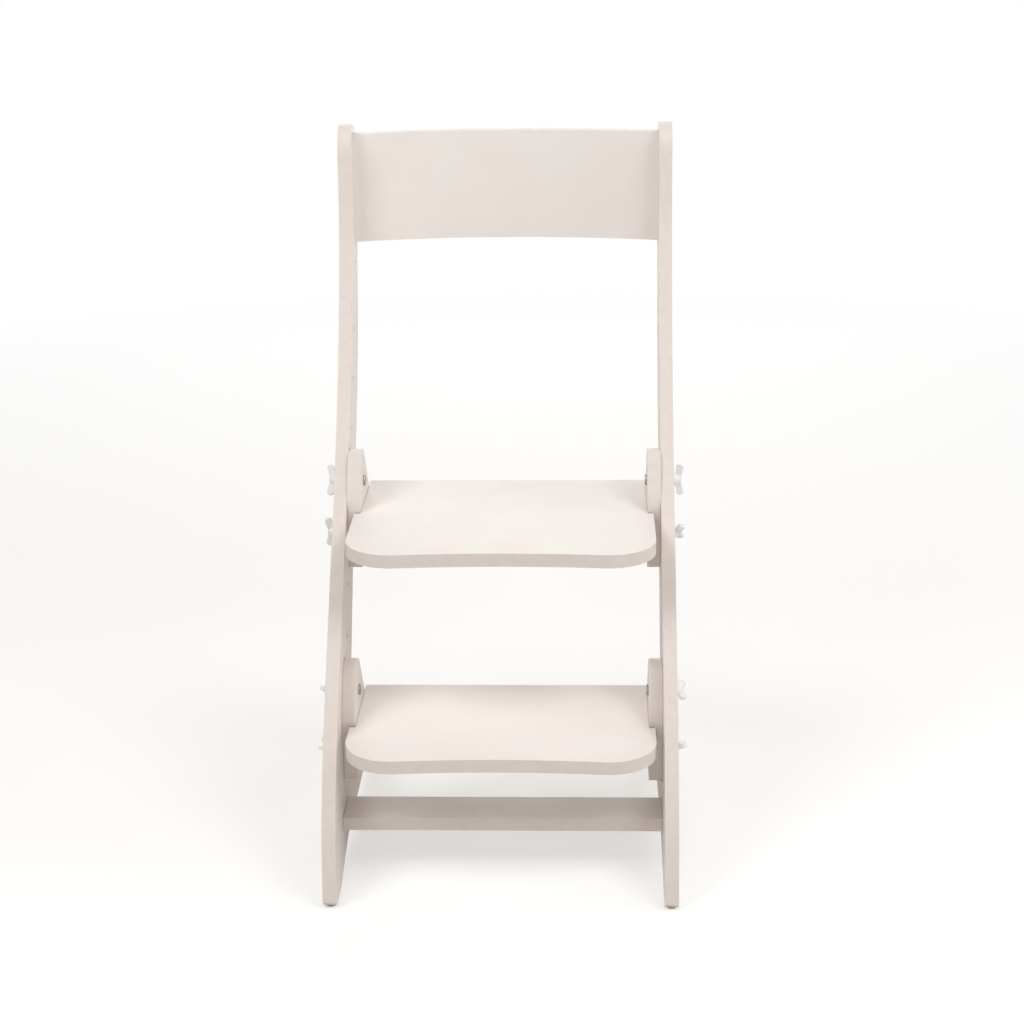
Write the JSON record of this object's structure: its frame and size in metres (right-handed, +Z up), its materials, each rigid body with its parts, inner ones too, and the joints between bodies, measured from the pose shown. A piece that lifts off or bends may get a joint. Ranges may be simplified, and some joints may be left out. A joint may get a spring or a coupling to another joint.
{
  "type": "growing chair",
  "caption": "Children's growing chair with S-shaped side panels, curved backrest, and a seat and footrest clamped to rows of holes with wing nuts.",
  "frame": {"origin": "on the floor under the middle of the chair's box", "axes": "+Z up, the sitter faces -Y, X across between the side panels, left is -X as seen from the front"},
  "size_m": [0.4376, 0.499, 0.839],
  "materials": {
    "board": "matt warm off-white laminate or lacquer on board",
    "nut_plastic": "white moulded plastic",
    "brass": "turned, moulded in",
    "steel": "zinc plated",
    "glide": "dark hard plastic"
  },
  "bodies": {
    "root": {"backrest": "board", "backrest_screws": "steel", "crossbar_screws": "steel", "footrest_board": "board", "footrest_bracket_left": "board", "footrest_bracket_right": "board", "footrest_bracket_screws": "steel", "front_glides": "glide", "lower_crossbar": "board", "rear_glides": "glide", "seat_board": "board", "seat_bracket_left": "board", "seat_bracket_right": "board", "seat_bracket_screws": "steel", "side_panel_left": "board", "side_panel_right": "board"},
    "seat_upper_nut_left_body": {"seat_upper_wing_nut_left": "nut_plastic", "seat_upper_insert_left": "brass"},
    "seat_upper_bolt_left_body": {"seat_upper_bolt_left": "steel"},
    "seat_upper_nut_right_body": {"seat_upper_wing_nut_right": "nut_plastic", "seat_upper_insert_right": "brass"},
    "seat_upper_bolt_right_body": {"seat_upper_bolt_right": "steel"},
    "seat_lower_nut_left_body": {"seat_lower_wing_nut_left": "nut_plastic", "seat_lower_insert_left": "brass"},
    "seat_lower_bolt_left_body": {"seat_lower_bolt_left": "steel"},
    "seat_lower_nut_right_body": {"seat_lower_wing_nut_right": "nut_plastic", "seat_lower_insert_right": "brass"},
    "seat_lower_bolt_right_body": {"seat_lower_bolt_right": "steel"},
    "footrest_upper_nut_left_body": {"footrest_upper_wing_nut_left": "nut_plastic", "footrest_upper_insert_left": "brass"},
    "footrest_upper_bolt_left_body": {"footrest_upper_bolt_left": "steel"},
    "footrest_upper_nut_right_body": {"footrest_upper_wing_nut_right": "nut_plastic", "footrest_upper_insert_right": "brass"},
    "footrest_upper_bolt_right_body": {"footrest_upper_bolt_right": "steel"},
    "footrest_lower_nut_left_body": {"footrest_lower_wing_nut_left": "nut_plastic", "footrest_lower_insert_left": "brass"},
    "footrest_lower_bolt_left_body": {"footrest_lower_bolt_left": "steel"},
    "footrest_lower_nut_right_body": {"footrest_lower_wing_nut_right": "nut_plastic", "footrest_lower_insert_right": "brass"},
    "footrest_lower_bolt_right_body": {"footrest_lower_bolt_right": "steel"}
  },
  "joints": [
    {"name": "seat_upper_nut_turn_left", "type": "hinge", "parent": "root", "child": "seat_upper_nut_left_body", "pos_m": [-0.206, 0.0477, 0.42766], "axis": [-1, 0, 0], "range_deg": [0, 1800]},
    {"name": "seat_upper_bolt_slide_left", "type": "slide", "parent": "root", "child": "seat_upper_bolt_left_body", "axis": [1, 0, 0], "range_m": [0, 0.005]},
    {"name": "seat_upper_nut_turn_right", "type": "hinge", "parent": "root", "child": "seat_upper_nut_right_body", "pos_m": [0.206, 0.0477, 0.42766], "axis": [1, 0, 0], "range_deg": [0, 1800]},
    {"name": "seat_upper_bolt_slide_right", "type": "slide", "parent": "root", "child": "seat_upper_bolt_right_body", "axis": [-1, 0, 0], "range_m": [0, 0.005]},
    {"name": "seat_lower_nut_turn_left", "type": "hinge", "parent": "root", "child": "seat_lower_nut_left_body", "pos_m": [-0.206, 0.01452, 0.37222], "axis": [-1, 0, 0], "range_deg": [0, 1800]},
    {"name": "seat_lower_bolt_slide_left", "type": "slide", "parent": "root", "child": "seat_lower_bolt_left_body", "axis": [1, 0, 0], "range_m": [0, 0.005]},
    {"name": "seat_lower_nut_turn_right", "type": "hinge", "parent": "root", "child": "seat_lower_nut_right_body", "pos_m": [0.206, 0.01452, 0.37222], "axis": [1, 0, 0], "range_deg": [0, 1800]},
    {"name": "seat_lower_bolt_slide_right", "type": "slide", "parent": "root", "child": "seat_lower_bolt_right_body", "axis": [-1, 0, 0], "range_m": [0, 0.005]},
    {"name": "footrest_upper_nut_turn_left", "type": "hinge", "parent": "root", "child": "footrest_upper_nut_left_body", "pos_m": [-0.206, -0.085, 0.20593], "axis": [-1, 0, 0], "range_deg": [0, 1800]},
    {"name": "footrest_upper_bolt_slide_left", "type": "slide", "parent": "root", "child": "footrest_upper_bolt_left_body", "axis": [1, 0, 0], "range_m": [0, 0.005]},
    {"name": "footrest_upper_nut_turn_right", "type": "hinge", "parent": "root", "child": "footrest_upper_nut_right_body", "pos_m": [0.206, -0.085, 0.20593], "axis": [1, 0, 0], "range_deg": [0, 1800]},
    {"name": "footrest_upper_bolt_slide_right", "type": "slide", "parent": "root", "child": "footrest_upper_bolt_right_body", "axis": [-1, 0, 0], "range_m": [0, 0.005]},
    {"name": "footrest_lower_nut_turn_left", "type": "hinge", "parent": "root", "child": "footrest_lower_nut_left_body", "pos_m": [-0.206, -0.11818, 0.1505], "axis": [-1, 0, 0], "range_deg": [0, 1800]},
    {"name": "footrest_lower_bolt_slide_left", "type": "slide", "parent": "root", "child": "footrest_lower_bolt_left_body", "axis": [1, 0, 0], "range_m": [0, 0.005]},
    {"name": "footrest_lower_nut_turn_right", "type": "hinge", "parent": "root", "child": "footrest_lower_nut_right_body", "pos_m": [0.206, -0.11818, 0.1505], "axis": [1, 0, 0], "range_deg": [0, 1800]},
    {"name": "footrest_lower_bolt_slide_right", "type": "slide", "parent": "root", "child": "footrest_lower_bolt_right_body", "axis": [-1, 0, 0], "range_m": [0, 0.005]}
  ],
  "couplings": [
    {"joint": "seat_upper_nut_turn_left", "follows": "seat_upper_bolt_slide_left", "rad_per_m": 6283},
    {"joint": "seat_upper_nut_turn_right", "follows": "seat_upper_bolt_slide_right", "rad_per_m": 6283},
    {"joint": "seat_lower_nut_turn_left", "follows": "seat_lower_bolt_slide_left", "rad_per_m": 6283},
    {"joint": "seat_lower_nut_turn_right", "follows": "seat_lower_bolt_slide_right", "rad_per_m": 6283},
    {"joint": "footrest_upper_nut_turn_left", "follows": "footrest_upper_bolt_slide_left", "rad_per_m": 6283},
    {"joint": "footrest_upper_nut_turn_right", "follows": "footrest_upper_bolt_slide_right", "rad_per_m": 6283},
    {"joint": "footrest_lower_nut_turn_left", "follows": "footrest_lower_bolt_slide_left", "rad_per_m": 6283},
    {"joint": "footrest_lower_nut_turn_right", "follows": "footrest_lower_bolt_slide_right", "rad_per_m": 6283}
  ]
}
